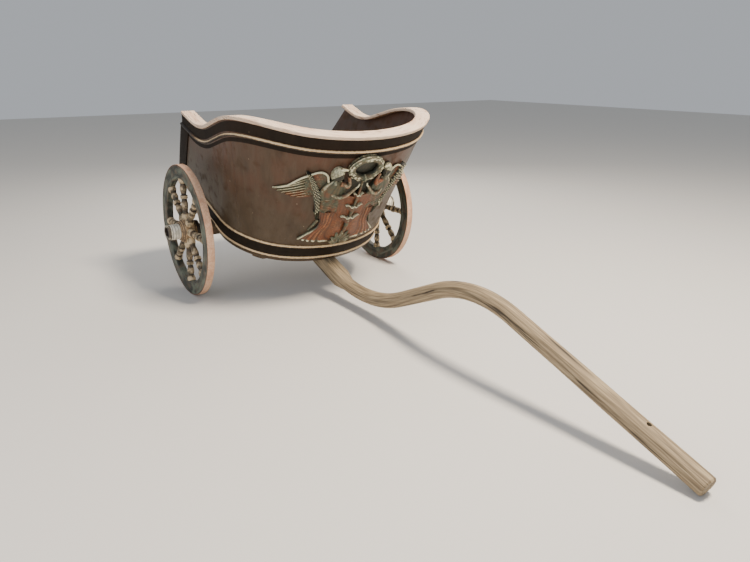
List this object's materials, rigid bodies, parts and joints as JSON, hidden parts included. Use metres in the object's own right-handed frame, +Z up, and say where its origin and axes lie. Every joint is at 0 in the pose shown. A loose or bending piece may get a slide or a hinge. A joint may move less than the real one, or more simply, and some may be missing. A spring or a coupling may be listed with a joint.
{
  "type": "two-wheeled ceremonial chariot",
  "caption": "Two-wheeled open-backed chariot: tall curved tub with a rail and relief figures, turned-spoke wheels that spin, and a long curved draught pole resting on the ground.",
  "frame": {"origin": "centre of the whole chariot's bounding box, on the ground", "axes": "+X forward along the pole, +Y to the chariot's left along the axle, +Z up from the ground"},
  "size_m": [4.1257, 1.892, 1.2685],
  "materials": {
    "felloe_timber": "dark weathered timber with grey-green patina",
    "floor_boards": "sawn boards, worn",
    "forged_iron": "forged iron, dark and rusty",
    "frame_timber": "sawn timber, brown and weathered",
    "moulding": "bronze paint rubbed to pale gold on the crests",
    "nave_timber": "turned timber, tan and worn",
    "nose_timber": "off-white weathered paint on turned timber",
    "pole_timber": "grey-tan weathered timber with long cracks",
    "rail_timber": "pale pinkish tan weathered board",
    "relief_casting": "verdigris green with copper-red drapery",
    "spoke_timber": "worn cream paint over dark timber",
    "tub_panels": "dark bronze paint, streaked brown and grey",
    "tyre_iron": "rusted wrought iron, pale pinkish rust on the tread"
  },
  "bodies": {
    "carriage": {"arm_washer_left": "forged_iron", "arm_washer_right": "forged_iron", "axle_arm_left": "forged_iron", "axle_arm_right": "forged_iron", "axle_beam": "frame_timber", "base_band": "moulding", "base_bead_lower": "moulding", "base_bead_upper": "moulding", "bearer_front": "frame_timber", "bearer_rear": "frame_timber", "floor_plank_1": "floor_boards", "floor_plank_2": "floor_boards", "floor_plank_3": "floor_boards", "floor_plank_4": "floor_boards", "floor_plank_5": "floor_boards", "floor_plank_6": "floor_boards", "linchpin_left": "forged_iron", "linchpin_right": "forged_iron", "palmette": "relief_casting", "pole": "pole_timber", "pole_strap_front": "forged_iron", "pole_strap_rear": "forged_iron", "rail_front": "rail_timber", "rail_left": "rail_timber", "rail_right": "rail_timber", "rear_border_left": "tub_panels", "rear_border_right": "tub_panels", "tub_front": "tub_panels", "tub_side_left": "tub_panels", "tub_side_right": "tub_panels", "upper_bead": "moulding", "victory_left": "relief_casting", "victory_right": "relief_casting", "wing_left": "relief_casting", "wing_right": "relief_casting", "wreath": "relief_casting"},
    "wheel_left": {"wheel_left_felloe": "felloe_timber", "wheel_left_nave": "nave_timber", "wheel_left_nave_band": "forged_iron", "wheel_left_nose": "nose_timber", "wheel_left_spokes": "spoke_timber", "wheel_left_tyre": "tyre_iron"},
    "wheel_right": {"wheel_right_felloe": "felloe_timber", "wheel_right_nave": "nave_timber", "wheel_right_nave_band": "forged_iron", "wheel_right_nose": "nose_timber", "wheel_right_spokes": "spoke_timber", "wheel_right_tyre": "tyre_iron"}
  },
  "joints": [
    {"name": "wheel_left_spin", "type": "hinge", "parent": "carriage", "child": "wheel_left", "pos_m": [-1.33518, 0.803, 0.457], "axis": [0, 1, 0], "continuous": true},
    {"name": "wheel_right_spin", "type": "hinge", "parent": "carriage", "child": "wheel_right", "pos_m": [-1.33518, -0.803, 0.457], "axis": [0, 1, 0], "continuous": true}
  ]
}
